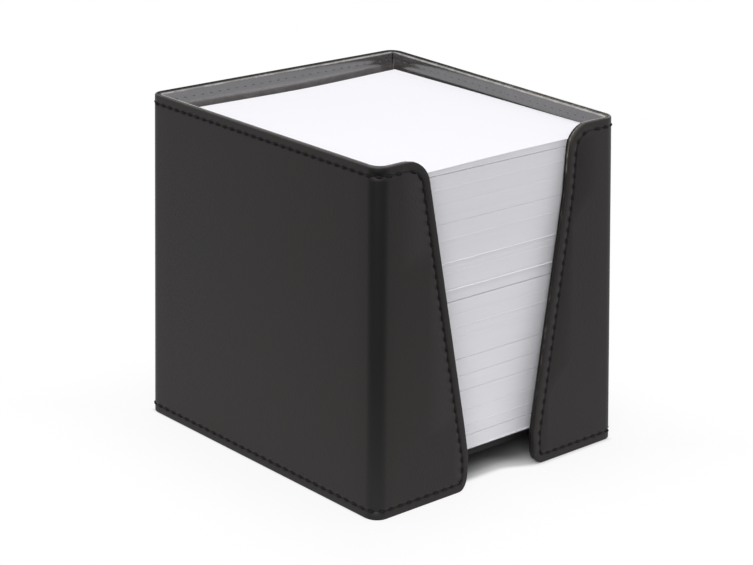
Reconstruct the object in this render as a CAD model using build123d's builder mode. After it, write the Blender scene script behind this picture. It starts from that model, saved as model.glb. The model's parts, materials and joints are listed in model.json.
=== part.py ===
"""Memo pad holder: an open-topped, stitched leatherette box for 90 mm note sheets.

Millimetres, +Z up.  The origin is the middle of the footprint on the table.  The front,
with its V-shaped slot between two wings, faces -Y.
"""

import os

from build123d import *

# ---- driving dimensions -------------------------------------------------------------

width = 96.0                # outside, across X
depth = 100.0               # outside, across Y
height = 100.0              # table to rim
corner_radius = 4.0         # bend of the outer skin at the four upright corners

skin = 0.8                  # outer leatherette
board = 1.0                 # stiffening board inside each wall
lining = 0.7                # inner leatherette
lining_setback = 0.3        # the lining's edge lies this far inside the turned skin's edge

slot_top = 62.0             # width of the front slot at the rim
slot_bottom = 24.0          # width of the front slot at the table
wing_top_radius = 8.0       # rounded corner of a wing at the rim
wing_bottom_radius = 4.5    # rounded corner of a wing at the table

stitch_inset = 2.6          # seam line to edge
stitch_pitch = 3.2
stitch_length = 2.3
stitch_width = 0.5
stitch_rise = 0.25          # how far a stitch stands above the skin

note_side = 90.0            # square note sheets
stack_bottom = 8.2          # underside of the lowest sheet above the table
pack_split = 55.8           # where the lower pack ends
pack_top = 92.8             # where the upper pack ends
stack_top = 95.0            # top of the loose sheets

tray_skin = 0.6
tray_board_thickness = 1.8
backing_sheet = 0.3         # paper glued under the tray board
tray_edge_radius = 0.5
tray_front_overhang = 0.9   # the tray reaches this far in front of the notes
rail_thickness = 3.0        # strips glued to the lining under the tray
rail_above_seam = 0.3       # gap between the bottom seam's stitches and the rails

# ---- derived values -----------------------------------------------------------------

wall = skin + board + lining
half_width = width / 2
half_depth = depth / 2
inner_half_width = half_width - wall
inner_half_depth = half_depth - wall
tray_underside = stack_bottom - tray_skin - tray_board_thickness - backing_sheet
tray_front = -note_side / 2 - tray_front_overhang
flat_half_width = half_width - corner_radius
flat_half_depth = half_depth - corner_radius

# boxes that stand on a level: centred on it, and growing upwards from it
standing = (Align.CENTER, Align.CENTER, Align.MIN)

os.makedirs("parts", exist_ok=True)


def save(piece, name):
    """Label a finished piece and write it to its own file."""
    piece.part.label = name
    export_step(piece.part, f"parts/{name}.step")


def front_plane(distance):
    """Upright plane facing -Y, a distance behind the outer front face."""
    return Plane.XZ.offset(half_depth - distance)


def from_middle(shape):
    """Distance of a sketch's corner or edge from the middle of the box."""
    return abs(shape.center().X)


def wing_sketch(plane, side, inset, outer_x):
    """Front view of one wing, side -1 or +1, with its free edges drawn in by inset.

    outer_x is where the wing ends towards the upright corner of the box, as a distance
    from the middle.
    """
    with BuildSketch(plane) as outline:
        with BuildLine():
            Polyline(
                (side * (half_width + corner_radius), 0),
                (side * slot_bottom / 2, 0),
                (side * slot_top / 2, height),
                (side * (half_width + corner_radius), height),
                close=True,
            )
        make_face()
        fillet(outline.vertices().group_by(Axis.Y)[0].sort_by(from_middle)[0], wing_bottom_radius)
        fillet(outline.vertices().group_by(Axis.Y)[-1].sort_by(from_middle)[0], wing_top_radius)
        if inset > 0:
            offset(amount=-inset, mode=Mode.REPLACE)
        with Locations((side * outer_x / 2, height / 2)):
            Rectangle(outer_x, height, mode=Mode.INTERSECT)
    return outline


# ---- outer skin ---------------------------------------------------------------------
# One strip of leatherette, bent round all five walls.  Its top, bottom and slot edges
# are turned inwards over the edges of the boards.

turned_width = skin + board

with BuildPart() as outer_cover:
    with BuildSketch():
        RectangleRounded(width, depth, corner_radius)
        Rectangle(width - 2 * turned_width, depth - 2 * turned_width, mode=Mode.SUBTRACT)
    extrude(amount=height)
    # the front wall keeps only its two wings
    with BuildSketch(front_plane(-1)):
        with Locations((0, height / 2)):
            Rectangle(2 * flat_half_width, height)
        for side in (-1, 1):
            add(wing_sketch(Plane.XY, side, 0, half_width).sketch, mode=Mode.SUBTRACT)
    extrude(amount=-1 - corner_radius, mode=Mode.SUBTRACT)
    # pocket behind the skin, all round, for the boards of the left, back and right walls
    with BuildSketch(Plane.XY.offset(skin)):
        RectangleRounded(width - 2 * skin, depth - 2 * skin, corner_radius - skin)
        with Locations((0, -half_depth)):
            Rectangle(2 * flat_half_width, 2 * corner_radius, mode=Mode.SUBTRACT)
    extrude(amount=height - 2 * skin, mode=Mode.SUBTRACT)
    # pockets of the two wings, closed by the turned slot edges
    for side in (-1, 1):
        pocket = wing_sketch(front_plane(skin), side, skin, flat_half_width)
        extrude(pocket.sketch, amount=-board, mode=Mode.SUBTRACT)

save(outer_cover, "outer_cover")


# ---- boards inside the walls --------------------------------------------------------

board_height = height - 2 * skin


def side_board(side):
    """Board of the left (-1) or right (+1) wall, as long as the wall is flat."""
    with BuildPart() as piece:
        with Locations((side * (half_width - skin - board / 2), 0, height / 2)):
            Box(board, 2 * flat_half_depth, board_height)
    return piece


def wing_board(side):
    """Board of the left (-1) or right (+1) front wing."""
    with BuildPart() as piece:
        outline = wing_sketch(front_plane(skin), side, skin, flat_half_width)
        extrude(outline.sketch, amount=-board)
    return piece


with BuildPart() as back_board:
    with Locations((0, half_depth - skin - board / 2, height / 2)):
        Box(2 * flat_half_width, board, board_height)

save(back_board, "back_board")
save(side_board(-1), "left_board")
save(side_board(1), "right_board")
save(wing_board(-1), "left_wing_board")
save(wing_board(1), "right_wing_board")


# ---- lining -------------------------------------------------------------------------
# One panel on each wall, butted edge to edge in the inner corners.

lining_height = height - 2 * lining_setback


def side_lining(side):
    """Panel of the left (-1) or right (+1) wall; the other panels butt against it."""
    with BuildPart() as piece:
        with Locations((side * (inner_half_width + lining / 2), 0, height / 2)):
            Box(lining, 2 * (inner_half_depth + lining), lining_height)
    return piece


def wing_lining(side):
    """Panel of the left (-1) or right (+1) front wing."""
    with BuildPart() as piece:
        outline = wing_sketch(front_plane(skin + board), side, lining_setback, inner_half_width)
        extrude(outline.sketch, amount=-lining)
    return piece


with BuildPart() as back_lining:
    with Locations((0, inner_half_depth + lining / 2, height / 2)):
        Box(2 * inner_half_width, lining, lining_height)

save(back_lining, "back_lining")
save(side_lining(-1), "left_lining")
save(side_lining(1), "right_lining")
save(wing_lining(-1), "left_wing_lining")
save(wing_lining(1), "right_wing_lining")


# ---- stitching ----------------------------------------------------------------------
# Each seam shows as a row of short stitches on the skin and another on the lining.


def stitches_along(path, outward):
    """Planes for the stitches of one row: X along the seam, Z out of the surface.

    outward turns the seam's direction into the direction away from the surface.
    """
    count = int(path.length / stitch_pitch)
    margin = (path.length - (count - 1) * stitch_pitch) / 2
    places = []
    for number in range(count):
        along = (margin + number * stitch_pitch) / path.length
        direction = path % along
        places.append(Plane(path @ along, x_dir=direction, z_dir=outward(direction)))
    return places


def level_row(path, facing):
    """Places on a level path; facing is +1 where the surface is to its right."""
    return stitches_along(path, lambda direction: direction.cross(Vector(0, 0, facing)))


def seam(rows):
    """All the stitches of one seam as a group of separate solids."""
    with BuildPart() as thread:
        for places in rows:
            with Locations(*places):
                Box(stitch_length, stitch_width, stitch_rise, align=standing)
    return thread


def wing_seam_edges(side):
    """The seam line on one wing as edges on Plane.XZ: level, rounded and slanted ones."""
    outline = wing_sketch(Plane.XZ, side, stitch_inset, half_width)
    return outline.sketch.edges()


def level_seam(level):
    """The seam that runs round all five walls at one level, outside and inside."""
    level_edge = wing_seam_edges(1).sort_by(lambda edge: abs(edge.center().Z - level))[0]
    start = level_edge.vertices().sort_by(Axis.X)[0].X
    with BuildLine(Plane.XY.offset(level)) as outside:
        FilletPolyline(
            (start, -half_depth),
            (half_width, -half_depth),
            (half_width, half_depth),
            (-half_width, half_depth),
            (-half_width, -half_depth),
            (-start, -half_depth),
            radius=corner_radius,
        )
    rows = [level_row(outside.wire(), 1)]
    inner_corners = [
        (start, -inner_half_depth, level),
        (inner_half_width, -inner_half_depth, level),
        (inner_half_width, inner_half_depth, level),
        (-inner_half_width, inner_half_depth, level),
        (-inner_half_width, -inner_half_depth, level),
        (-start, -inner_half_depth, level),
    ]
    for first, last in zip(inner_corners[:-1], inner_corners[1:]):
        rows.append(level_row(Edge.make_line(first, last), -1))
    return seam(rows)


def slot_seam(side):
    """The seam beside one slanted slot edge and round its two corners, on both faces."""
    edges = wing_seam_edges(side)
    slanted = edges.filter_by(GeomType.LINE).sort_by(from_middle)[0]
    rows = []
    for edge in [slanted, *edges.filter_by(GeomType.CIRCLE)]:
        outside = edge.moved(Location((0, -half_depth, 0)))
        inside = edge.moved(Location((0, -inner_half_depth, 0)))
        rows.append(stitches_along(outside, lambda direction: Vector(0, -1, 0)))
        rows.append(stitches_along(inside, lambda direction: Vector(0, 1, 0)))
    return seam(rows)


save(level_seam(height - stitch_inset), "top_seam_thread")
save(level_seam(stitch_inset), "bottom_seam_thread")
save(slot_seam(-1), "left_slot_seam_thread")
save(slot_seam(1), "right_slot_seam_thread")


# ---- raised tray --------------------------------------------------------------------
# A wrapped board glued between the left, back and right walls, on three upright rails.

tray_depth = inner_half_depth - tray_front
board_depth = tray_depth - tray_skin

with BuildPart() as tray_board:
    with Locations((0, inner_half_depth - board_depth / 2, tray_underside + backing_sheet)):
        Box(2 * inner_half_width, board_depth, tray_board_thickness, align=standing)

with BuildPart() as tray_backing_sheet:
    with Locations((0, inner_half_depth - board_depth / 2, tray_underside)):
        Box(2 * inner_half_width, board_depth, backing_sheet, align=standing)

with BuildPart() as tray_cover:
    with BuildSketch(Plane.YZ.offset(-inner_half_width)):
        with BuildLine():
            Polyline(
                (tray_front, tray_underside),
                (tray_front, stack_bottom),
                (inner_half_depth, stack_bottom),
                (inner_half_depth, stack_bottom - tray_skin),
                (tray_front + tray_skin, stack_bottom - tray_skin),
                (tray_front + tray_skin, tray_underside),
                close=True,
            )
        make_face()
    extrude(amount=2 * inner_half_width)
    front_edges = tray_cover.edges().filter_by(Axis.X).group_by(Axis.Y)[0]
    fillet(front_edges.sort_by(Axis.Z)[-1], tray_edge_radius)

save(tray_board, "tray_board")
save(tray_backing_sheet, "tray_backing_sheet")
save(tray_cover, "tray_cover")


# ---- rails that carry the tray ------------------------------------------------------

rail_bottom = stitch_inset + stitch_width / 2 + rail_above_seam
rail_height = tray_underside - rail_bottom
side_rail_length = tray_depth - 2 * rail_thickness
back_rail_length = 2 * (inner_half_width - rail_thickness)


def side_rail(side):
    """A strip along the left (-1) or right (+1) wall."""
    middle_x = side * (inner_half_width - rail_thickness / 2)
    middle_y = inner_half_depth - side_rail_length / 2
    with BuildPart() as piece:
        with Locations((middle_x, middle_y, rail_bottom)):
            Box(rail_thickness, side_rail_length, rail_height, align=standing)
    return piece


with BuildPart() as back_rail:
    with Locations((0, inner_half_depth - rail_thickness / 2, rail_bottom)):
        Box(back_rail_length, rail_thickness, rail_height, align=standing)

save(side_rail(-1), "left_tray_rail")
save(side_rail(1), "right_tray_rail")
save(back_rail, "back_tray_rail")


# ---- note paper ---------------------------------------------------------------------


def note_stack(bottom, top):
    """Square sheets lying flat, as one solid between two levels."""
    with BuildPart() as stack:
        with Locations((0, 0, bottom)):
            Box(note_side, note_side, top - bottom, align=standing)
    return stack


save(note_stack(stack_bottom, pack_split), "lower_note_pack")
save(note_stack(pack_split, pack_top), "upper_note_pack")
save(note_stack(pack_top, stack_top), "loose_top_notes")
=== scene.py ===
# %% [markdown]
# # A stitched memo pad holder
#
# The real object is a box of thin boards between two layers of leatherette, sewn together
# along every free edge.  It holds two packs of white note sheets, which show through a slot
# in the front.  The frame already gives each piece its size and place.  In this lesson each
# visible piece is modelled again, with the rounded folds, seams and sheet edges that a plain
# solid lacks.

# %% Load the frame
import json
import math
import random

import bmesh
import bpy
from mathutils import Matrix, Vector

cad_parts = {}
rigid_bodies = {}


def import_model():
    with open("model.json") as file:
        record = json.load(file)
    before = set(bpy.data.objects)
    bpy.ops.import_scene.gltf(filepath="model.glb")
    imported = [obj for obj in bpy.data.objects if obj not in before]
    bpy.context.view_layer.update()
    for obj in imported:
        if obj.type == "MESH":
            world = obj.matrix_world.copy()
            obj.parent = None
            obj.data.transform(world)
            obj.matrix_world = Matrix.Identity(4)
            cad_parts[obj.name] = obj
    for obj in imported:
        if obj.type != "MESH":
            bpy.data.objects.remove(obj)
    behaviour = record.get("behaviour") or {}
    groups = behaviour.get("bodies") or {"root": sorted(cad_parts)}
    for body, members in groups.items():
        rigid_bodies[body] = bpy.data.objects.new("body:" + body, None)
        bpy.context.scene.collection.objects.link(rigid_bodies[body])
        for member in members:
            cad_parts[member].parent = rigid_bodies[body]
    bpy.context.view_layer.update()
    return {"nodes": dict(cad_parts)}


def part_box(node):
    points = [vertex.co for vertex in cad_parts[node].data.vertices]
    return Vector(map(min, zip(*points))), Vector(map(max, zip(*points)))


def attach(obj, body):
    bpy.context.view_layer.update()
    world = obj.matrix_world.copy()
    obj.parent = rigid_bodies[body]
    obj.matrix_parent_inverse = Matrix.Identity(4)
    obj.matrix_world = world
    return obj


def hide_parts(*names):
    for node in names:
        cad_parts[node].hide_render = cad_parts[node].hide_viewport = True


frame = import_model()

# %% [markdown]
# ## Measures
#
# Blender counts in metres and a box maker in millimetres, so one name turns one into the
# other.  Sizes that are typed in again could disagree with the frame, so they're read from
# it, but for the slot's half widths at the rim and at the table, which it doesn't tell.

# %% Measures
mm = 0.001


def corners(node):
    """Lowest and highest corner of a frame node as vectors."""
    low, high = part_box(node)
    return Vector(low), Vector(high)


half_width, half_depth, height = corners("outer_cover")[1]
inner_half_width = corners("back_lining")[1].x
inner_half_depth = corners("back_lining")[0].y
note_half = corners("lower_note_pack")[1].x
pack_top, stack_top = (corner.z for corner in corners("loose_top_notes"))
slot_half_top = 31 * mm
slot_half_bottom = 12 * mm
print(f"outside {2 * half_width / mm:.0f} x {2 * half_depth / mm:.0f} x {height / mm:.0f} mm")

# %% [markdown]
# ## Working in edit mode from code
#
# Modelling operators act on what is selected, so small helpers start from a clean
# selection, enter edit mode, and select corners, edges or faces by a rule about where they
# are.  Numbered faces would be shorter to write, but the numbers change with every cut, and
# a rule still holds.

# %% Selection helpers


def only(piece):
    """Makes one object the selected and active one."""
    bpy.ops.object.select_all(action="DESELECT")
    piece.select_set(True)
    bpy.context.view_layer.objects.active = piece


def open_edit(piece):
    """Enters edit mode on one object."""
    only(piece)
    bpy.ops.object.mode_set(mode="EDIT")


def close_edit():
    bpy.ops.object.mode_set(mode="OBJECT")


def pick(piece, kind, rule):
    """In edit mode, selects the verts, edges or faces that obey the rule."""
    bpy.ops.mesh.select_mode(type={"verts": "VERT", "edges": "EDGE", "faces": "FACE"}[kind])
    bpy.ops.mesh.select_all(action="DESELECT")
    shape = bmesh.from_edit_mesh(piece.data)
    for item in getattr(shape, kind):
        if rule(item):
            item.select_set(True)
    shape.select_flush_mode()
    bmesh.update_edit_mesh(piece.data)


def middle(edge):
    """Halfway point of an edge."""
    return (edge.verts[0].co + edge.verts[1].co) / 2


def near(value, target, slack=0.01 * mm):
    return abs(value - target) < slack


def use_modifier(piece, kind, **settings):
    """Adds a modifier, sets it up and applies it."""
    only(piece)
    modifier = piece.modifiers.new(kind.title(), kind)
    for name, value in settings.items():
        setattr(modifier, name, value)
    bpy.ops.object.modifier_apply(modifier=modifier.name)


print("a hair apart is near:", near(0, 0.005 * mm))

# %% [markdown]
# ## Sums on shader sockets
#
# A finish is a small sum of patterns.  Linking its nodes one by one works too, but hides the
# sum.  Wrapping a socket in a class lets it be written as Python reads it, and each sign
# adds the Math node that does it.  All other nodes come from one method: type, settings,
# then what goes into the sockets.

# %% Amounts


class Amount:
    """A shader socket that takes part in ordinary sums."""

    def __init__(self, bench, socket):
        self.bench = bench
        self.socket = socket

    def reckon(self, operation, first, second=0.0):
        settings = {"operation": operation}
        return self.bench.node("ShaderNodeMath", settings, {0: first, 1: second})

    def __add__(self, other):
        return self.reckon("ADD", self, other)

    def __sub__(self, other):
        return self.reckon("SUBTRACT", self, other)

    def __rsub__(self, other):
        return self.reckon("SUBTRACT", other, self)

    def __mul__(self, other):
        return self.reckon("MULTIPLY", self, other)

    def __abs__(self):
        return self.reckon("ABSOLUTE", self)

    def larger(self, other):
        return self.reckon("MAXIMUM", self, other)

    __radd__ = __add__
    __rmul__ = __mul__


print("signs: +, -, *, abs and larger")

# %% The workbench they lie on


class Bench:
    """The nodes of one material or world."""

    def __init__(self, owner):
        owner.use_nodes = True
        self.tree = owner.node_tree

    def feed(self, socket, value):
        if isinstance(value, Amount):
            self.tree.links.new(value.socket, socket)
        else:
            socket.default_value = value

    def node(self, kind, settings=None, inputs=None, output=0):
        made = self.tree.nodes.new(kind)
        for name, value in (settings or {}).items():
            setattr(made, name, value)
        for name, value in (inputs or {}).items():
            self.feed(made.inputs[name], value)
        return Amount(self, made.outputs[output])

    def place(self):
        """Object coordinates: metres from the middle of the holder's foot."""
        return self.node("ShaderNodeTexCoord", output="Object")

    def drawn_place(self):
        """Where the square design has a point, before the lean; kept with the mesh."""
        return self.node("ShaderNodeAttribute", {"attribute_name": "drawn_place"}, output=1)

    def ray(self, kind):
        """1 for rays of one kind, such as Camera, and 0 for all others."""
        return self.node("ShaderNodeLightPath", output=f"Is {kind} Ray")

    def along(self, vector, axis):
        return self.node("ShaderNodeSeparateXYZ", {}, {0: vector}, axis)

    def stretched(self, vector, factors):
        settings = {"operation": "MULTIPLY"}
        return self.node("ShaderNodeVectorMath", settings, {0: vector, 1: factors})

    def noise(self, vector, scale, detail=2.0, roughness=0.5):
        inputs = {"Vector": vector, "Scale": scale, "Detail": detail, "Roughness": roughness}
        return self.node("ShaderNodeTexNoise", {}, inputs)

    def cells(self, vector, scale, feature="F1"):
        inputs = {"Vector": vector, "Scale": scale}
        return self.node("ShaderNodeTexVoronoi", {"feature": feature}, inputs)

    def ramp(self, value, start, end):
        """Rises smoothly from 0 to 1 between two values."""
        inputs = {"Value": value, "From Min": start, "From Max": end}
        return self.node("ShaderNodeMapRange", {"interpolation_type": "SMOOTHSTEP"}, inputs)

    def mix(self, amount, first, second):
        inputs = {0: amount, 6: first, 7: second}
        return self.node("ShaderNodeMix", {"data_type": "RGBA"}, inputs, 2)

    def bump(self, height, distance, strength=1.0):
        inputs = {"Height": height, "Distance": distance, "Strength": strength}
        return self.node("ShaderNodeBump", {}, inputs)


def tone(red, green, blue, depth=1.0):
    """Turns a colour's screen values into a shader's; a depth below 1 is blacker."""
    parts = [value * depth / 255 for value in (red, green, blue)]
    linear = [p / 12.92 if p < 0.04045 else ((p + 0.055) / 1.055) ** 2.4 for p in parts]
    return (*linear, 1.0)


def finish(name, recipe, **settings):
    """A material whose shader gets the values that the recipe works out."""
    material = bpy.data.materials.new(name)
    bench = Bench(material)
    shader = bench.tree.nodes["Principled BSDF"]
    for socket, value in recipe(bench, **settings).items():
        bench.feed(shader.inputs[socket], value)
    print("finish:", name, len(bench.tree.nodes), "nodes")
    return material


print("middle grey as light:", round(tone(128, 128, 128)[0], 3))

# %% [markdown]
# ## Leatherette
#
# The outside is a coated cloth pressed with a fine leather grain.  A cell pattern gives the
# pebbles and a noise the finer creases.  Round a bend the sheet is smoother, and there its
# colour is darkened as painted shade.  Along the rim the black is rubbed, most at the right
# wall's front end.  Each such place is a mask, made of ramps over the coordinates.  The masks
# read where a point lay in the square design, because the finished box leans and its rim
# isn't level.

# %% Leatherette


def near_right_front(bench, drawn):
    """1 at the right wall's front end, where wear is greatest, and 0 far from it."""
    inner_face = inner_half_width - 0.1 * mm
    right = bench.ramp(bench.along(drawn, 0), inner_face - 2.4 * mm, inner_face)
    return right * bench.ramp(bench.along(drawn, 1), 30 * mm, -30 * mm)


def leatherette_recipe(bench, depth=1.0, sheen=1.38):
    """Black leatherette."""
    place = bench.place()
    drawn = bench.drawn_place()
    wander = bench.noise(place, 320, detail=3)
    pebbles = bench.cells(place, 1500, "SMOOTH_F1")
    creases = bench.noise(place, 5200, detail=3, roughness=0.6)
    pores = bench.ramp(bench.cells(place, 620), 0.0, 0.22)
    grain = pebbles * 0.9 + creases * 0.35 + pores * 0.25 + wander * 0.5
    handling = bench.noise(place, 34, detail=4, roughness=0.6)
    scuffs = bench.ramp(bench.noise(place, 300, detail=3, roughness=0.6), 0.3, 0.65)
    corner = half_width + half_depth
    outwards = abs(bench.along(drawn, 0)) + abs(bench.along(drawn, 1))
    # bend is 1 on the upright bends, where the grain is smoother and the colour gets painted
    # shade
    bend = bench.ramp(outwards, corner - 4.6 * mm, corner - 2.6 * mm)
    rim = bench.ramp(bench.along(drawn, 2), height - 0.3 * mm, height - 0.05 * mm)
    wear = rim * (near_right_front(bench, drawn) * 0.6 + 0.12) * (0.4 + scuffs * 0.6)
    dark = tone(26, 22, 22, depth)
    light = tone(33, 28, 27, depth)
    plain = bench.mix(bench.ramp(handling, 0.3, 0.75), dark, light)
    flecks = bench.ramp(creases, 0.55, 0.8) * 0.35 * depth
    flecked = bench.mix(flecks, plain, tone(45, 39, 38))
    # Painted shade: the colour is darkened on the upright bends.
    stretched = bench.mix(bend * 0.9, flecked, tone(15, 14, 14))
    return {
        "Base Color": bench.mix(wear, stretched, tone(150, 146, 143)),
        "Roughness": 0.46 + handling * 0.14 + creases * 0.08 - bend * 0.06,
        "IOR": sheen,
        "Normal": bench.bump(grain * (1 - bend * 0.5), 0.06 * mm, 0.6),
    }


leatherette = finish("black_leatherette", leatherette_recipe)
# A darker copy for the seam channel: painted shade in the recess.
seam_leatherette_painted_shade = finish("leatherette_painted_shade_in_seam", leatherette_recipe, depth=0.4)
# A darker copy for the tray: painted shade under the notes.
tray_leatherette_painted_shade = finish("tray_leatherette_painted_shade", leatherette_recipe, depth=0.5, sheen=1.33)

# %% [markdown]
# ## Lining
#
# The inside is papered with a smooth glazed film.  It's nearly as dark as the skin, but it
# shines, so it takes its grey from the white sheets that it mirrors.  A grey colour would
# be simpler but wouldn't follow the light, and a metal would mirror too hard, so the film
# gets a higher refractive index than leather's.  Just above the notes, most on the back
# wall, it's painted paler, a painted reflection of the sheets with some rubbing.  Its rim
# and the fold in the back right corner are painted pale, wear with a painted highlight.  On
# the wings, which mirror nothing bright, a darker copy of the film is painted shade.

# %% Lining


def lining_recipe(bench, depth=1.0, sheen=2.4, rubbing=1.0):
    """Glazed film."""
    place = bench.place()
    drawn = bench.drawn_place()
    x, y, z = (bench.along(drawn, axis) for axis in range(3))
    wall_x, wall_y = inner_half_width, inner_half_depth
    cloth = bench.noise(place, 1900)
    waves = bench.noise(place, 70)
    handling = bench.noise(place, 45, detail=4, roughness=0.6)
    scuffs = bench.ramp(bench.noise(place, 260, detail=3, roughness=0.6), 0.35, 0.65)
    before_seam = bench.ramp(y, wall_y - 1 * mm, wall_y - 0.7 * mm)
    beside_seam = before_seam * bench.ramp(y, wall_y - 0.1 * mm, wall_y - 0.4 * mm)
    fold = bench.ramp(x, wall_x - 0.4 * mm, wall_x - 0.1 * mm) * beside_seam
    on_back = bench.ramp(y, wall_y - 0.9 * mm, wall_y - 0.3 * mm)
    held = near_right_front(bench, drawn)
    # Painted reflection of the sheets, with some rubbing: paler just above the notes, most on
    # the back wall.
    above_notes = bench.ramp(z, stack_top + 1.8 * mm, stack_top + 0.2 * mm)
    rubbed_and_painted_light = above_notes * (on_back * 0.9 + (1 - held) * 0.3) * rubbing
    dark = tone(33, 31, 30, depth)
    light = tone(59, 55, 54, depth)
    plain = bench.mix(bench.ramp(handling, 0.3, 0.7), dark, light)
    film = bench.mix(rubbed_and_painted_light * (0.45 + scuffs * 0.2), plain, tone(118, 113, 112))
    # Painted highlight with wear: the rounded rim and the fold in the back right corner turn
    # pale.
    rim = bench.ramp(z, height - 0.75 * mm, height - 0.45 * mm)
    fresh = bench.ramp(x, 25 * mm, -25 * mm) * bench.ramp(y, 5 * mm, -35 * mm)
    wear = (0.1 + scuffs * 0.6) * (1 - fresh * 0.9) + held * 0.3
    worn_and_highlit = rim.larger(fold * 0.5) * wear
    return {
        "Base Color": bench.mix(worn_and_highlit, film, tone(160, 157, 155)),
        "Roughness": 0.13 + handling * 0.1 + cloth * 0.04,
        "IOR": sheen,
        "Normal": bench.bump(cloth * 0.12 + waves * 1.2, 0.05 * mm, 0.5),
    }


lining_film = finish("glazed_lining", lining_recipe)
# A darker copy for the wings' lining: painted shade.
dark_film = finish("dark_glazed_lining", lining_recipe, depth=0.6, sheen=1.3, rubbing=0)

# %% [markdown]
# ## Edge band
#
# Between skin and lining the wall's edge is closed by a narrow band.  It's rubbed smooth.
# Where hands reach in, at the wings' heads and at the right wall's front end, its black is
# painted grey and brown, partly as wear and partly as a painted highlight.  A noise that is
# squeezed upright gives short streaks, which a plain noise wouldn't have.

# %% Edge band


def band_recipe(bench):
    place = bench.place()
    drawn = bench.drawn_place()
    upright = bench.stretched(place, (1.0, 1.0, 0.25))
    streaks = bench.noise(upright, 900, detail=4, roughness=0.65)
    patches = bench.ramp(bench.noise(place, 130), 0.5, 0.66)
    plain = bench.mix(streaks, tone(22, 20, 19), tone(42, 38, 35))
    # Painted highlight with wear: paler towards the top of the wings and at the right wall's
    # front end.
    high = bench.ramp(bench.along(drawn, 2), 84 * mm, 93 * mm)
    on_wings = high * bench.ramp(bench.along(drawn, 1), -44 * mm, -46 * mm)
    worn_and_highlit = on_wings.larger(high * near_right_front(bench, drawn))
    rubbed_and_painted_light = bench.ramp(streaks, 0.45, 0.7) * (patches + worn_and_highlit)
    return {
        "Base Color": bench.mix(rubbed_and_painted_light * 0.55 + worn_and_highlit * 0.2, plain, tone(150, 143, 132)),
        "Roughness": 0.5 + streaks * 0.16,
        "IOR": 1.3,
        "Normal": bench.bump(streaks, 0.05 * mm, 0.6),
    }


edge_band_finish = finish("rubbed_and_highlit_edge_band", band_recipe)

# %% [markdown]
# ## Thread, board and paper
#
# The thread is black polyester.  Its two strands twist round each other, which a slanted
# wave over the stitch's own UV map gives.  Inside, the same stitches lie under the glaze, and
# a lighter copy of the thread paints the glaze's reflection on them.
# Grey board shows its pulp as short fibres.  Black paper is matt.  Note paper is white, and
# the sides of a stack show its sheets as fine level lines, because the noise there is
# squeezed almost flat.  A mask keeps the lines off the sheets' faces, which are plain.

# %% Thread, board and paper


def thread_recipe(bench, dark, light, sheen):
    chart = bench.node("ShaderNodeTexCoord", output="UV")
    twist = bench.along(chart, 0) * 2.0 + bench.along(chart, 1) * 3.0
    strands = bench.node("ShaderNodeMath", {"operation": "PINGPONG"}, {0: twist, 1: 0.5})
    fuzz = bench.noise(bench.place(), 9000)
    return {
        "Base Color": bench.mix(strands * 2, dark, light),
        "Roughness": 0.6 + fuzz * 0.25,
        "Specular IOR Level": sheen,
        "Normal": bench.bump(strands * 2.0 + fuzz * 0.4, 0.12 * mm, 0.9),
    }


def greyboard_recipe(bench):
    place = bench.place()
    pressed = bench.stretched(place, (1.0, 1.0, 0.35))
    fibres = bench.noise(pressed, 1700, detail=4, roughness=0.7)
    specks = bench.ramp(bench.noise(place, 900), 0.62, 0.7)
    pulp = bench.mix(fibres, tone(128, 121, 110), tone(166, 158, 146))
    return {
        "Base Color": bench.mix(specks * 0.5, pulp, tone(88, 84, 78)),
        "Roughness": 0.82 + fibres * 0.12,
        "Normal": bench.bump(fibres, 0.06 * mm, 0.7),
    }


def black_paper_recipe(bench):
    fibres = bench.noise(bench.place(), 1500, detail=4, roughness=0.65)
    return {
        "Base Color": bench.mix(fibres, tone(24, 24, 24), tone(42, 41, 40)),
        "Roughness": 0.72 + fibres * 0.15,
        "Normal": bench.bump(fibres, 0.04 * mm, 0.5),
    }


def note_paper_recipe(bench):
    place = bench.place()
    level_sheets = bench.stretched(place, (0.012, 0.012, 1.0))
    level_bundles = bench.stretched(place, (0.01, 0.01, 1.0))
    sheets = bench.noise(level_sheets, 7000, roughness=0.7)
    bundles = bench.noise(level_bundles, 620)
    fibres = bench.noise(place, 900, detail=3, roughness=0.6)
    outwards = abs(bench.along(place, 0)).larger(abs(bench.along(place, 1)))
    at_side = bench.ramp(outwards, note_half - 1.2 * mm, note_half - 0.6 * mm)
    lines = bench.ramp(sheets, 0.5, 0.8) * 0.5 + bench.ramp(bundles, 0.5, 0.75) * 0.25
    lines *= at_side
    return {
        "Base Color": bench.mix(lines * 0.18, tone(245, 244, 249), tone(200, 197, 202)),
        "Roughness": 0.74 + fibres * 0.12,
        "Normal": bench.bump(sheets * 0.15 + fibres * 0.15, 0.02 * mm, 0.5),
    }


thread = finish(
    "black_thread", thread_recipe, dark=tone(24, 21, 21), light=tone(38, 34, 34), sheen=0.1
)
# A lighter copy of the thread for inside: painted reflection of the glaze.
inside_thread_painted_lighter = finish(
    "thread_under_glaze_painted_lighter", thread_recipe, dark=tone(76, 73, 72), light=tone(98, 94, 93),
    sheen=0.8
)
greyboard = finish("grey_board", greyboard_recipe)
black_paper = finish("black_backing_paper", black_paper_recipe)
note_paper = finish("white_note_paper", note_paper_recipe)

# %% [markdown]
# ## The lean
#
# A box of thin board is never quite square.  On this one the front leans back at the top
# and stands forward at the table, and both wings reach further into the slot than drawn,
# the left one more.  Slanting each piece by itself would open gaps, so a lattice, a cage of
# a few points round the whole box, holds the lean, and every wall piece passes through it.

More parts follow.
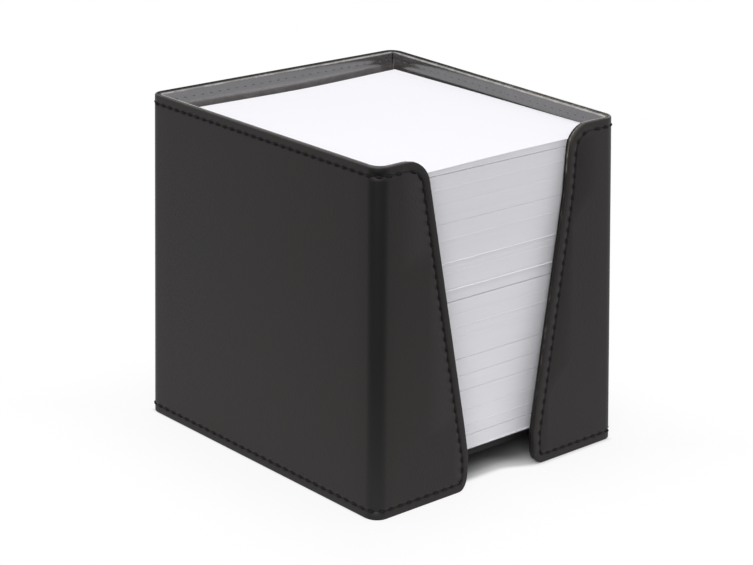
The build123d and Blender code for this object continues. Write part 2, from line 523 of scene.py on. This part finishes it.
# %% Set the cage
# By corner (left or right, front or back, foot or rim): its shift in millimetres.
lean_at_corner = {
    (0, 0, 0): (0.3, -2.55, 0),
    (1, 0, 0): (1.45, -2.75, 0),
    (0, 1, 0): (0.45, 0.85, 0),
    (1, 1, 0): (0, 0, 0),
    (0, 0, 1): (0.4, 1.05, 0.15),
    (1, 0, 1): (-0.7, 2.8, -0.7),
    (0, 1, 1): (0.4, 0.25, 0),
    (1, 1, 1): (1.3, 0.35, 0),
}
# By front point between the corners (column, foot or rim): its shift aside and up.
wing_shift = {(1, 0): (1.3, 0), (1, 1): (2.6, 0.25), (2, 0): (-0.25, 0), (2, 1): (-1.2, 0)}
columns = 4
bpy.ops.object.select_all(action="DESELECT")
bpy.ops.object.add(type="LATTICE", location=(0, 0, height / 2))
cage = bpy.context.object
cage.scale = (2 * half_width, 2 * half_depth, height)
cage.data.points_u = columns
for way in "uvw":
    setattr(cage.data, f"interpolation_type_{way}", "KEY_LINEAR")
for index, point in enumerate(cage.data.points):
    column, row, level = index % columns, index // columns % 2, index // (2 * columns)
    left_end = Vector(lean_at_corner[0, row, level])
    right_end = Vector(lean_at_corner[1, row, level])
    shift = left_end.lerp(right_end, column / (columns - 1)) * mm
    if row == 0:
        aside, raised = wing_shift.get((column, level), (0, 0))
        shift += Vector((aside, 0, raised)) * mm
    point.co_deform.x += shift.x / (2 * half_width)
    point.co_deform.y += shift.y / (2 * half_depth)
    point.co_deform.z += shift.z / height
print("cage of", len(cage.data.points), "points")

# %% [markdown]
# ## Three small pulls
#
# Beside the slot the leather gives way more than a cage of straight lines can follow.  Both
# wings' feet draw back from the slot and the right wing's head leans into it.  A finer cage
# would do, but a warp is simpler: it drags what lies near one empty towards another.

# %% Set the pulls
warps = []
for x, z, pull, reach in (
    (-slot_half_bottom, 1 * mm, -2 * mm, 10 * mm),
    (slot_half_bottom, 1 * mm, 2 * mm, 10 * mm),
    (slot_half_top, 96 * mm, -1.2 * mm, 18 * mm),
):
    ends = []
    for end_x in (x, x + pull):
        bpy.ops.object.empty_add(location=(end_x, -half_depth, z))
        ends.append(bpy.context.object)
    warps.append((*ends, reach))
print("pulls:", len(warps))

# %% [markdown]
# ## Leaning a piece and handing it in
#
# A large face can't twist, so a piece is first cut into a grid.  Before it's moved, each
# point's place in the square design is written into the mesh as an attribute, which the
# finishes read.  Handing in gives the piece its material and its body, and hides its frame
# node.

# %% Lean a piece, hand it in


def cut_across(piece, point, normal):
    """In edit mode, cuts a plane's line into the whole piece."""
    bpy.ops.mesh.select_all(action="SELECT")
    bpy.ops.mesh.bisect(plane_co=point, plane_no=normal)


def set_crooked(piece):
    """Keeps each point's place in the square design, then warps and leans the piece."""
    drawn = piece.data.attributes.new("drawn_place", "FLOAT_VECTOR", "POINT")
    drawn.data.foreach_set("vector", [part for v in piece.data.vertices for part in v.co])
    for start, end, reach in warps:
        use_modifier(piece, "WARP", object_from=start, object_to=end, falloff_radius=reach)
    use_modifier(piece, "LATTICE", object=cage)


def lean(piece):
    """Cuts large faces into a grid, so that they can twist, and leans the piece."""
    open_edit(piece)
    for level in (4, *range(10, 100, 10), 96):
        cut_across(piece, (0, 0, level * mm), (0, 0, 1))
    for step in range(-40, 50, 10):
        cut_across(piece, (step * mm, 0, 0), (1, 0, 0))
        cut_across(piece, (0, step * mm, 0), (0, 1, 0))
    close_edit()
    set_crooked(piece)


def hand_in(piece, material, body, node, smooth=32):
    """Gives a finished piece its material and its body, and hides the frame node it stands
    for.
    """
    only(piece)
    if len(piece.data.materials) < 2:
        piece.data.materials.clear()
        piece.data.materials.append(material)
    bpy.ops.object.shade_smooth_by_angle(angle=math.radians(smooth))
    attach(piece, body)
    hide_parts(node)
    print(piece.name, len(piece.data.polygons), "faces, for", node)


# %% [markdown]
# ## The sheet that wraps the box
#
# Skin and lining have the same shape: a strip that runs from the slot, round three walls
# and back to the slot.  Five flat plates would leave open corners, so it's made as one
# sheet.  It starts as a cube with its top, bottom and front taken away.  The free front
# edges are extruded into the two wings, and the wings' own corners are rounded.

# %% Start the sheet and add a wing
wing_top_radius = 8 * mm
wing_bottom_radius = 3.6 * mm
slot_flare = slot_half_top - slot_half_bottom


def add_mesh(operator, name, **settings):
    """Adds a primitive that has its size and place in its mesh."""
    bpy.ops.object.select_all(action="DESELECT")
    operator(**settings)
    made = bpy.context.object
    made.name = name
    bpy.ops.object.transform_apply(location=True, rotation=True, scale=True)
    return made


def open_box(name, half_x, half_y, low, high):
    """A box without top, bottom and front, left in edit mode."""
    sheet = add_mesh(
        bpy.ops.mesh.primitive_cube_add, name, size=1, location=(0, 0, height / 2),
        scale=(2 * half_x, 2 * half_y, high - low)
    )
    open_edit(sheet)
    pick(sheet, "faces", lambda f: abs(f.normal.z) > 0.9 or f.normal.y < -0.9)
    bpy.ops.mesh.delete(type="ONLY_FACE")
    pick(sheet, "edges", lambda e: e.is_wire)
    bpy.ops.mesh.delete(type="EDGE")
    return sheet


def round_wing_corner(sheet, x, y, z, radius):
    """Rounds one corner of a wing; the slanted edge makes it other than square."""
    tilt = math.atan2(slot_flare, height)
    opening = math.pi / 2 + tilt * (1 if z > height / 2 else -1)
    pick(sheet, "verts", lambda v: near(v.co.x, x) and near(v.co.y, y) and near(v.co.z, z))
    reach = radius / math.tan(opening / 2)
    bpy.ops.mesh.bevel(offset=reach, segments=9, affect="VERTICES")


def add_wing(sheet, side, half_x, half_y, setback):
    """Pulls a front edge out into a wing with a slanted end and round corners."""
    low, high = setback, height - setback
    at_corner = side * half_x
    foot = side * (slot_half_bottom + slot_flare / height * low + setback)
    head = side * (slot_half_bottom + slot_flare / height * high + setback)
    pick(sheet, "edges", lambda e: near(middle(e).x, at_corner) and near(middle(e).y, -half_y))
    bpy.ops.mesh.extrude_region_move(
        TRANSFORM_OT_translate={"value": (foot - at_corner, 0, 0)}
    )
    pick(sheet, "verts", lambda v: near(v.co.x, foot) and near(v.co.z, high))
    bpy.ops.transform.translate(value=(head - foot, 0, 0))
    round_wing_corner(sheet, head, -half_y, high, wing_top_radius - setback)
    round_wing_corner(sheet, foot, -half_y, low, wing_bottom_radius - setback)


print(f"the slot widens by {2 * slot_flare / mm:.0f} mm from table to rim")

# %% [markdown]
# ## Bends and the seam channel
#
# The upright corners are bevelled into bends.  Three insets along the free edge then leave
# the shallow channel that the thread pulls into the leather.  Cuts by hand wouldn't follow
# the edge round the wings' corners, and insets do, if the rounding is larger than all three.

# %% Wrap a strip
seam_inset = 2.6 * mm
channel_half = 0.45 * mm


def spot(vert):
    """A vertex's place, rounded so that it can be looked up."""
    return tuple(round(part, 7) for part in vert.co)


def sink_seam(sheet, setback, depth):
    """Insets the selected sheet's free edge, and returns the spots of the sunken line."""
    bpy.ops.mesh.inset(thickness=seam_inset - setback - channel_half, use_boundary=True)
    bpy.ops.mesh.inset(thickness=channel_half, depth=-depth, use_boundary=True)
    shape = bmesh.from_edit_mesh(sheet.data)
    seam_line = {spot(v) for v in shape.verts
                 if v.select and not all(f.select for f in v.link_faces)}
    bpy.ops.mesh.inset(thickness=channel_half, depth=depth, use_boundary=True)
    return seam_line


def wrapped_strip(name, half_x, half_y, bend, bent_corners, setback, channel_depth,
                  face_in=False, materials=()):
    """The strip round all walls as one sheet with a seam channel along its free edge."""
    sheet = open_box(name, half_x, half_y, setback, height - setback)
    for side in (-1, 1):
        add_wing(sheet, side, half_x, half_y, setback)
    for x_side, y_side in bent_corners:
        pick(sheet, "edges", lambda e: near(middle(e).x, x_side * half_x)
             and near(middle(e).y, y_side * half_y))
        bpy.ops.mesh.bevel(offset=bend, segments=8, affect="EDGES")
    bpy.ops.mesh.select_all(action="SELECT")
    bpy.ops.mesh.normals_make_consistent(inside=face_in)
    seam_line = sink_seam(sheet, setback, channel_depth)
    # The channel's faces get the second material, which is painted darker as shade.
    if materials:
        for material in materials:
            sheet.data.materials.append(material)
        pick(sheet, "faces", lambda f: sum(spot(v) in seam_line for v in f.verts) >= 2)
        sheet.active_material_index = 1
        bpy.ops.object.material_slot_assign()
    close_edit()
    print(name, len(sheet.data.polygons), "faces")
    return sheet


corner_radius = 4 * mm
all_corners = ((-1, -1), (1, -1), (1, 1), (-1, 1))
skin = wrapped_strip(
    "outer_skin", half_width, half_depth, corner_radius, all_corners, setback=0,
    channel_depth=0.28 * mm, materials=(leatherette, seam_leatherette_painted_shade)
)

# %% [markdown]
# ## Skin and edge band
#
# The edge of a wall shows its layers: skin, a narrow band over the board's edge, lining.
# The skin is the sheet with its own thickness and a rounded border.  The band starts as the
# same strip one skin further in.  One solidify modifier makes a rim of its width, the sheet
# itself is deleted, and a second solidify thickens the rim.  The rounded borders leave a
# fine groove between the layers, as on the real edge.

# %% Thicken the skin
skin_thickness = 0.7 * mm


def give_thickness(sheet, thickness, rounding):
    """Thickens a sheet away from its face and rounds the face's border."""
    open_edit(sheet)
    shape = bmesh.from_edit_mesh(sheet.data)
    border = {spot(vert) for vert in shape.verts if vert.is_boundary}
    close_edit()
    use_modifier(sheet, "SOLIDIFY", thickness=thickness, offset=-1, use_even_offset=True)
    open_edit(sheet)
    pick(sheet, "edges", lambda e: all(spot(v) in border for v in e.verts)
         and e.calc_face_angle(0) > 1)
    bpy.ops.mesh.bevel(offset=rounding, segments=4, affect="EDGES")
    close_edit()


give_thickness(skin, skin_thickness, rounding=0.42 * mm)
lean(skin)
hand_in(skin, leatherette, "holder", "outer_cover", smooth=36)

# %% Make the edge band
band_width = 1.1 * mm
wall_thickness = half_depth - inner_half_depth
band = wrapped_strip(
    "edge_band", half_width - skin_thickness, half_depth - skin_thickness,
    corner_radius - skin_thickness, all_corners, setback=0.2 * mm, channel_depth=0
)
use_modifier(band, "SOLIDIFY", thickness=band_width, offset=-1, use_rim_only=True,
             use_even_offset=True)


def is_wall(face):
    """True for a face of the wall itself, which the band's faces stand square to."""
    if abs(face.normal.z) > 0.5:
        return False
    centre = face.calc_center_median()
    in_front = centre.y < wall_thickness - half_depth - 0.1 * mm
    on_wing = abs(centre.x) < half_width - corner_radius - 0.5 * mm
    return not (in_front and on_wing) or abs(face.normal.y) > 0.7


open_edit(band)
pick(band, "faces", is_wall)
bpy.ops.mesh.delete(type="FACE")
close_edit()
give_thickness(band, 0.6 * mm, rounding=0.36 * mm)
lean(band)
hand_in(band, edge_band_finish, "holder", "outer_cover")

# %% [markdown]
# ## The lining panels
#
# Each wall's lining is a panel of its own, with fine seams in the upright inner corners.
# They could be cut from plates, but the same strip at the inner size already fits, so it's
# made again and its walls are separated.  The side panels run past the corners and the
# others butt against them, but for the front left corner, where the wing's panel goes round
# in a soft bend.  Each gets its thickness and a rounded rim, which catches the light.

# %% Split the strip into panels
lining_thickness = 0.7 * mm
lining_bend = 2.6 * mm
strip = wrapped_strip(
    "lining_strip", inner_half_width, inner_half_depth, lining_bend, ((-1, -1),),
    setback=0.3 * mm, channel_depth=0.05 * mm, face_in=True
)


def split_off(sheet, rule):
    """Moves the faces that obey the rule to an object of their own."""
    open_edit(sheet)
    pick(sheet, "faces", rule)
    before = set(bpy.data.objects)
    bpy.ops.mesh.separate(type="SELECTED")
    close_edit()
    return (set(bpy.data.objects) - before).pop()


def is_left_wall(face):
    past_bend = face.calc_center_median().y > lining_bend - inner_half_depth
    return face.normal.x > 0.7 and past_bend


rules = {
    "left_lining": is_left_wall,
    "right_lining": lambda f: f.normal.x < -0.7,
    "back_lining": lambda f: f.normal.y < -0.7,
    "left_wing_lining": lambda f: f.calc_center_median().x < 0,
}
panels = {node: split_off(strip, rule) for node, rule in rules.items()}
panels["right_wing_lining"] = strip
# The ends of a side panel that run past a corner: 1 is at the back, -1 in front.
long_ends = {"left_lining": (1,), "right_lining": (-1, 1)}
for node, panel in panels.items():
    panel.name = node + "_panel"
    open_edit(panel)
    for end in long_ends.get(node, ()):
        pick(panel, "verts", lambda v: near(v.co.y, end * inner_half_depth, 0.02 * mm))
        bpy.ops.transform.translate(value=(0, end * lining_thickness, 0))
    close_edit()
    give_thickness(panel, lining_thickness, rounding=0.28 * mm)
    lean(panel)
    # The wings get the darker copy of the film, painted shade.
    film = dark_film if "wing" in node else lining_film
    hand_in(panel, film, "holder", node)

# %% [markdown]
# ## One stitch, copied
#
# A stitch is a short length of thread that comes up out of one hole and goes down into the
# next, so its ends are thinner and lie lower.  It's a cylinder cut into rings, and the end
# rings are drawn in and sunk.  A curve with a round bevel would do as well, but there are
# over five hundred stitches, and this one has few faces.

# %% Model the stitch
stitch_long = 2.3 * mm
thread_radius = 0.46 * mm
stitch = add_mesh(
    bpy.ops.mesh.primitive_cylinder_add, "stitch", vertices=8, radius=thread_radius,
    depth=stitch_long, rotation=(0, math.pi / 2, 0)
)
open_edit(stitch)
for ring in (0.42 * mm, -0.42 * mm, 0.8 * mm, -0.8 * mm):
    cut_across(stitch, (ring, 0, 0), (1, 0, 0))
for ring, size, sink in ((0.8 * mm, 0.74, 0.12 * mm), (stitch_long / 2, 0.3, 0.42 * mm)):
    for end in (-1, 1):
        pick(stitch, "verts", lambda v: near(v.co.x, end * ring))
        bpy.ops.transform.resize(value=(1, size, size))
        bpy.ops.transform.translate(value=(0, 0, -sink))
close_edit()
only(stitch)
bpy.ops.object.shade_smooth_by_angle(angle=math.radians(40))
print("stitch:", len(stitch.data.polygons), "faces")

# %% [markdown]
# ## Lay the stitches where the frame has them
#
# The frame's thread nodes hold one small bar for each stitch, so no seam has to be measured
# again.  A bar's loose shell gives the stitch's middle, its shortest edge the way up from
# the leather, and the next edge the way across.  Bars inside the box face the other way.

# %% Read the bars


def loose_bars(node):
    """Middle of each bar, and the ways from one corner to the others, nearest first."""
    shape = bmesh.new()
    shape.from_mesh(frame["nodes"][node].data)
    bmesh.ops.remove_doubles(shape, verts=shape.verts, dist=0.001 * mm)
    left = set(shape.verts)
    bars = []
    while left:
        found = [left.pop()]
        for vert in found:
            for edge in vert.link_edges:
                other = edge.other_vert(vert)
                if other in left:
                    left.remove(other)
                    found.append(other)
        found.sort(key=lambda v: tuple(v.co))
        centre = sum((v.co for v in found), Vector()) / len(found)
        sides = sorted((v.co - found[0].co for v in found[1:]), key=lambda d: d.length)
        bars.append((centre, sides))
    shape.free()
    bars.sort(key=lambda bar: tuple(bar[0]))
    return bars


print("bars below the rim:", len(loose_bars("top_seam_thread")))

# %% Lay a stitch on each bar
stitch_slant = math.radians(-11)
sunk_outside = 0.26 * mm
sunk_inside = 0.56 * mm


def own_copy(source):
    """A copy of an object with a mesh of its own."""
    one = source.copy()
    one.data = source.data.copy()
    bpy.context.collection.objects.link(one)
    return one


def join_copies(copies, name):
    """Joins copies into one piece that has its place in its mesh."""
    bpy.ops.object.select_all(action="DESELECT")
    for one in copies:
        one.select_set(True)
    bpy.context.view_layer.objects.active = copies[0]
    bpy.ops.object.join()
    joined = bpy.context.object
    joined.name = name
    bpy.ops.object.transform_apply(location=True, rotation=True, scale=True)
    print(name, "of", len(copies), "copies")
    return joined


def lay_stitches(node, name):
    """Copies the stitch onto every bar of a thread node and joins the copies."""
    copies = []
    for centre, sides in loose_bars(node):
        up = sides[0].normalized()
        across = sides[1].normalized()
        length_way = up.cross(across)
        inside = abs(centre.x) < inner_half_width and abs(centre.y) < inner_half_depth
        outwards = up.dot(Vector((centre.x, centre.y, 0))) > 0
        if outwards == inside:
            up = -up
        side_way = up.cross(length_way)
        turn = Matrix((length_way, side_way, up)).transposed().to_4x4()
        turn @= Matrix.Rotation(stitch_slant, 4, "Z")
        one = own_copy(stitch)
        one.data.materials.append(inside_thread_painted_lighter if inside else thread)
        sunk = sunk_inside if inside else sunk_outside
        one.matrix_world = Matrix.Translation(centre - up * sunk) @ turn
        copies.append(one)
    seam = join_copies(copies, name)
    set_crooked(seam)
    hand_in(seam, thread, "holder", node)


for node, name in (
    ("top_seam_thread", "rim_stitching"),
    ("bottom_seam_thread", "foot_stitching"),
    ("left_slot_seam_thread", "left_slot_stitching"),
    ("right_slot_seam_thread", "right_slot_stitching"),
):
    lay_stitches(node, name)
bpy.data.objects.remove(stitch)

# %% [markdown]
# ## The boards inside the walls
#
# The boards are hidden, but the walls need them when the holder is taken apart.  New cubes
# would have to be fitted by eye, so these are copies of the frame's boards that share the
# lean, with their cut edges slightly crushed.

# %% Boards


def is_fold(edge):
    """True for a crease that stands outwards between two faces."""
    return len(edge.link_faces) == 2 and edge.is_convex and edge.calc_face_angle(0) > 1


def solid_copy(node, name):
    """A copy of a frame solid, with its loose triangles merged into whole faces."""
    solid = own_copy(frame["nodes"][node])
    solid.parent = None
    solid.name = name
    open_edit(solid)
    bpy.ops.mesh.select_all(action="SELECT")
    bpy.ops.mesh.remove_doubles(threshold=0.001 * mm)
    bpy.ops.mesh.dissolve_limited(angle_limit=math.radians(1))
    close_edit()
    return solid


for wall in ("left", "back", "right", "left_wing", "right_wing"):
    board = solid_copy(wall + "_board", wall + "_stiffener")
    open_edit(board)
    pick(board, "edges", is_fold)
    bpy.ops.mesh.bevel(offset=0.08 * mm, segments=2, affect="EDGES", clamp_overlap=True)
    close_edit()
    lean(board)
    hand_in(board, greyboard, "holder", wall + "_board")

# %% [markdown]
# ## The stacks of notes
#
# From the front a stack shows level lines, a few sheets that stand proud and catch the
# light, and a dark line where one pack ends.  Painted on a box they would look flat, and
# single sheets are too thin to matter, so a stack is built from leaves of a millimetre or
# two.  One leaf is modelled and copied, and each copy lies a hair's breadth off, as
# knocked-up paper does.

# %% Model one leaf
leaf_thickness = 1 * mm
leaf = add_mesh(
    bpy.ops.mesh.primitive_cube_add, "leaf", size=1,
    scale=(2 * note_half, 2 * note_half, leaf_thickness)
)
open_edit(leaf)
pick(leaf, "edges", lambda e: near(middle(e).z, 0))
bpy.ops.mesh.bevel(offset=0.25 * mm, segments=2, affect="EDGES")
pick(leaf, "edges", lambda e: abs(middle(e).z) > 0.4 * leaf_thickness and is_fold(e))
bpy.ops.mesh.bevel(offset=0.015 * mm, segments=1, affect="EDGES")
close_edit()
print("leaf:", len(leaf.data.polygons), "faces")

# %% Stack copies of the leaf
shuffle = random.Random(7)
stray = 0.008 * mm
stray_degrees = 0.008


def stack_leaves(name, layers):
    """Copies the leaf into each layer: bottom, top, and how far it stands out or in."""
    copies = []
    for low, high, proud in layers:
        one = own_copy(leaf)
        one.location = (
            shuffle.uniform(-stray, stray),
            shuffle.uniform(-stray, stray) - max(proud, 0),
            (low + high) / 2,
        )
        shrink = 1 + min(proud, 0) / note_half
        one.scale = (shrink, shrink, (high - low) / leaf_thickness)
        one.rotation_euler.z = math.radians(shuffle.uniform(-stray_degrees, stray_degrees))
        copies.append(one)
    return join_copies(copies, name)


def layers_between(low, high, first, lines):
    """Uneven leaves round the first one (thickness, how proud) and those that show."""
    marked = [(low, low + first[0], first[1])]
    marked += [tuple(part * mm for part in line) for line in lines]
    layers = []
    level = low
    for start, end, proud in [*marked, (high, high, 0)]:
        while start - level > 2.6 * mm:
            thick = shuffle.uniform(0.8, 2.2) * mm
            layers.append((level, level + thick, 0))
            level += thick
        if start - level > 0.01 * mm:
            layers.append((level, start, 0))
        if end > start:
            layers.append((start, end, proud))
        level = end
    return layers


print("a leaf strays by up to", stray / mm, "mm")

# %% [markdown]
# ## Two packs
#
# The lower pack's first leaf stands out a little, over the tray.  The packs meet slightly
# lower than in the frame, as they do in the picture, and the upper one's first leaf is much
# smaller than the others, which leaves a dark gap all round.

# %% Stack the packs
# Leaves that show as a line: bottom, top, and how far they stand out, in millimetres.
lower_lines = (
    (12.5, 12.7, -0.3), (15.9, 16.1, 0.08), (20.6, 20.8, -0.12), (26.9, 27.1, -0.25),
    (31.7, 31.9, -0.22), (37.0, 37.2, -0.3), (43.8, 44.0, -0.12), (46.9, 47.1, 0.1),
    (50.7, 50.9, -0.1),
)
upper_lines = (
    (58.35, 58.75, 0.3), (58.95, 59.1, -0.2), (64.1, 64.3, -0.1), (65.6, 65.8, -0.12),
    (66.7, 67.0, 0.14), (73.6, 73.8, 0.06), (78.5, 78.7, -0.24), (84.0, 84.2, -0.06),
    (88.6, 88.8, 0.06),
)
pack_low = corners("lower_note_pack")[0].z
pack_split = corners("upper_note_pack")[0].z - 0.85 * mm
gap_low = pack_split + 0.02 * mm
lower_stack = stack_leaves("lower_notes", layers_between(
    pack_low, pack_split, (0.3 * mm, 0.3 * mm), lower_lines
))
upper_stack = stack_leaves("upper_notes", layers_between(
    gap_low, pack_top, (0.28 * mm, -8 * mm), upper_lines
))

# %% [markdown]
# ## The loose sheets
#
# A few loose sheets lie on top.  In front they don't touch the pack, which gives a thin
# dark line that fades to the right, so their front half is scaled towards the top.  They
# also sag a little at the back and at the front left.  A cloth simulation would choose the
# places itself, so proportional editing pulls down three points of the edge instead.

# %% Stack and bow the loose sheets
loose_leaves = 6
loose_thickness = stack_top - pack_top
loose_levels = [pack_top + step * loose_thickness / loose_leaves
                for step in range(loose_leaves + 1)]
loose_stack = stack_leaves("loose_notes_on_top", [
    (low, high, shuffle.uniform(-0.1, 0.1) * mm)
    for low, high in zip(loose_levels, loose_levels[1:])
])
open_edit(loose_stack)
for side, gap in ((-1, 0.34 * mm), (1, 0.1 * mm)):
    pick(loose_stack, "verts", lambda v: v.co.x * side > 0 and v.co.y < 0)
    bpy.ops.transform.resize(
        value=(1, 1, 1 - gap / loose_thickness), center_override=(0, 0, stack_top)
    )
for step in range(-40, 45, 5):
    cut_across(loose_stack, (step * mm, 0, 0), (1, 0, 0))
    cut_across(loose_stack, (0, step * mm, 0), (0, 1, 0))
for x, y, dip, reach in (
    (5 * mm, note_half, 0.85 * mm, 52 * mm),
    (-note_half, note_half, 0.35 * mm, 50 * mm),
    (-note_half, -note_half, 0.6 * mm, 60 * mm),
):
    pick(loose_stack, "verts", lambda v: near(v.co.x, x, mm) and near(v.co.y, y, mm))
    bpy.ops.transform.resize(
        value=(1, 1, 1 - dip / loose_thickness), center_override=(x, y, pack_top),
        use_proportional_edit=True, proportional_edit_falloff="SMOOTH", proportional_size=reach
    )
close_edit()
print(f"loose sheets from {pack_top / mm:.1f} to {stack_top / mm:.1f} mm")

# %% Hand in the notes
for stack, body, node in (
    (lower_stack, "lower_pack", "lower_note_pack"),
    (upper_stack, "upper_pack", "upper_note_pack"),
    (loose_stack, "loose_notes", "loose_top_notes"),
):
    hand_in(stack, note_paper, body, node, smooth=5)
for helper in [leaf, cage, *(end for warp in warps for end in warp[:2])]:
    bpy.data.objects.remove(helper)

# %% [markdown]
# ## The tray
#
# The tray and its rails lie under the notes, and only the tray's front edge shows.  Its
# leatherette is a darker copy, painted shade for the dark under the notes.
# There the cover is pulled tight round the board, which presses the edge thin.  New plates
# could be drawn, but copies of the frame's layers fit already.  They're cut a little way
# behind the edge, and the edge is scaled towards the top, which leaves a taper between.
# The rails keep the frame's own shapes and just get a finish.

# %% Finish the tray
tray_front = corners("tray_cover")[0].y
tray_top = corners("tray_cover")[1].z
taper_start = tray_front + 6 * mm
edge_back = tray_front + 0.7 * mm
edge_share = 0.55
for node, name, material, slot in (
    ("tray_cover", "tray_wrapping", tray_leatherette_painted_shade, "leatherette"),
    ("tray_board", "tray_stiffener", greyboard, "greyboard"),
    ("tray_backing_sheet", "tray_backing", black_paper, "black_paper"),
):
    layer = solid_copy(node, name)
    open_edit(layer)
    cut_across(layer, (0, taper_start, 0), (0, 1, 0))
    pick(layer, "verts", lambda v: v.co.y < edge_back)
    bpy.ops.transform.resize(value=(1, 1, edge_share), center_override=(0, 0, tray_top))
    close_edit()
    hand_in(layer, material, "holder", node)
for node in ("left_tray_rail", "right_tray_rail", "back_tray_rail"):
    rail = frame["nodes"][node]
    for index in range(len(rail.data.materials)):
        rail.data.materials[index] = greyboard
    print(node, "in", greyboard.name)

# %% [markdown]
# ## Table and background
#
# The table fades into a white background.  Stronger lamps would turn it white, but would
# also bleach the notes.  Instead, the camera sees it partly as pure white and partly as the
# lamps light it, which keeps the holder's shadow.  Under the tray its colour is painted dark,
# a painted shadow whose edge comes further forward at the right.  To the front left it ends
# for mirrored rays, so that the box's side doesn't glow.

# %% Table


def table_recipe(bench):
    place = bench.place()
    x = bench.along(place, 0)
    y = bench.along(place, 1)
    foot_y = half_depth + 0.5 * mm
    # forward moves the front edge of the white and of the painted shadow: back at the left,
    # forward at the right.
    forward = bench.ramp(x, 4 * mm, 18 * mm) * 5 * mm - 1.5 * mm
    beyond = (abs(x) - half_width).larger(y - foot_y).larger(-foot_y - y - forward)
    beside = bench.ramp(beyond, -2.5 * mm, 0.5 * mm)
    clear = beside * 0.86 + bench.ramp(beyond, 0, 45 * mm) * 0.14
    front_left = x * -0.68 + y * -0.73
    past_edge = bench.ramp(front_left, 90 * mm, 132 * mm)
    # Painted shadow: the table's colour turns dark inside the holder's footprint, which shows
    # under the tray.
    under = (1 - bench.ramp(beyond, -12 * mm, -1 * mm)) * 0.75
    fibres = bench.noise(place, 400, detail=3)
    sheet = bench.mix(fibres, (0.86, 0.86, 0.86, 1), (0.9, 0.9, 0.9, 1))
    colour = bench.mix(past_edge.larger(under), sheet, (0.03, 0.03, 0.03, 1))
    painted = bench.node("ShaderNodeBsdfDiffuse", {}, {"Color": colour})
    white = bench.node("ShaderNodeEmission", {}, {"Color": (1, 1, 1, 1), "Strength": 1.0})
    mirrored = bench.ray("Glossy") + bench.ray("Transmission")
    amount = (bench.ray("Camera") + mirrored * (1 - past_edge) * 0.9) * clear
    return bench.node("ShaderNodeMixShader", {}, {0: amount, 1: painted, 2: white})


table = add_mesh(bpy.ops.mesh.primitive_plane_add, "table", size=3)
table_white = bpy.data.materials.new("white_table")
table_bench = Bench(table_white)
table_output = table_bench.tree.nodes["Material Output"]
table_bench.feed(table_output.inputs["Surface"], table_recipe(table_bench))
table.data.materials.append(table_white)
print("table:", len(table_bench.tree.nodes), "nodes")

# %% [markdown]
# ## The air round it
#
# The world gives the shadows a soft, even light.  To the camera and in mirrors it's pure
# white like the background, but that would be too much light for everything else.

# %% World
ambient = 0.28
world = bpy.data.worlds.new("studio")
bpy.context.scene.world = world
air = Bench(world)
backdrop = air.tree.nodes["Background"]
seen = air.ray("Camera") + air.ray("Glossy") + air.ray("Transmission")
air.feed(backdrop.inputs["Color"], (1.0, 1.0, 1.0, 1.0))
air.feed(backdrop.inputs["Strength"], ambient + seen * (1 - ambient))
print("ambient light:", ambient)

# %% [markdown]
# ## Soft lamps
#
# Three large square lamps give the even light of a product photo, where small ones would
# throw hard shadows.  One above lights the paper, one at the left the wide side, and a
# weaker one at the right the wings.  Their power is worked out from how bright each should
# make a white surface.

# %% Lamps
aim = Vector((0, 0, 50 * mm))


def soft_lamp(name, place, size, brightness):
    """A square lamp that makes a white surface at the aim as bright as said."""
    way = aim - Vector(place)
    data = bpy.data.lights.new(name, "AREA")
    data.size = size
    data.energy = brightness * math.pi ** 2 * way.length_squared
    lamp = bpy.data.objects.new(name, data)
    lamp.location = place
    lamp.rotation_euler = way.to_track_quat("-Z", "Y").to_euler()
    bpy.context.collection.objects.link(lamp)
    print(name, f"{data.energy:.1f} W")


soft_lamp("lamp_above", (0.0, 0.1, 1.3), size=1.2, brightness=0.6)
soft_lamp("lamp_left", (-0.9, -0.8, 0.8), size=0.9, brightness=0.54)
soft_lamp("lamp_right", (1.1, -0.6, 0.6), size=0.8, brightness=0.05)

# %% [markdown]
# ## The camera
#
# A camera placed by eye never quite fits, so this one's numbers come from fitting a pinhole
# camera to the straight edges in the picture.  At the aim it's turned three times, and then
# it steps back.  Its lens follows from the focal length in pixels and the frame's width.

# %% Camera
azimuth = math.radians(-42.714)
elevation = math.radians(19.317)
roll = math.radians(1.799)
distance = 646.17 * mm
shift_right = -1.25 * mm
shift_up = -4.546 * mm
focal_pixels = 2174.18
frame_pixels = 753
turn = (Matrix.Rotation(azimuth, 4, "Z") @ Matrix.Rotation(math.pi / 2 - elevation, 4, "X")
        @ Matrix.Rotation(roll, 4, "Z"))
step_back = Matrix.Translation((shift_right, shift_up, distance))
camera_data = bpy.data.cameras.new("camera")
camera_data.sensor_width = 36
camera_data.lens = focal_pixels * camera_data.sensor_width / frame_pixels
camera_data.clip_start = 0.01
camera = bpy.data.objects.new("camera", camera_data)
bpy.context.collection.objects.link(camera)
camera.matrix_world = Matrix.Translation(aim) @ turn @ step_back
scene = bpy.context.scene
scene.camera = camera
scene.view_settings.view_transform = "Standard"
print(f"lens {camera_data.lens:.1f} mm at {distance:.3f} m")
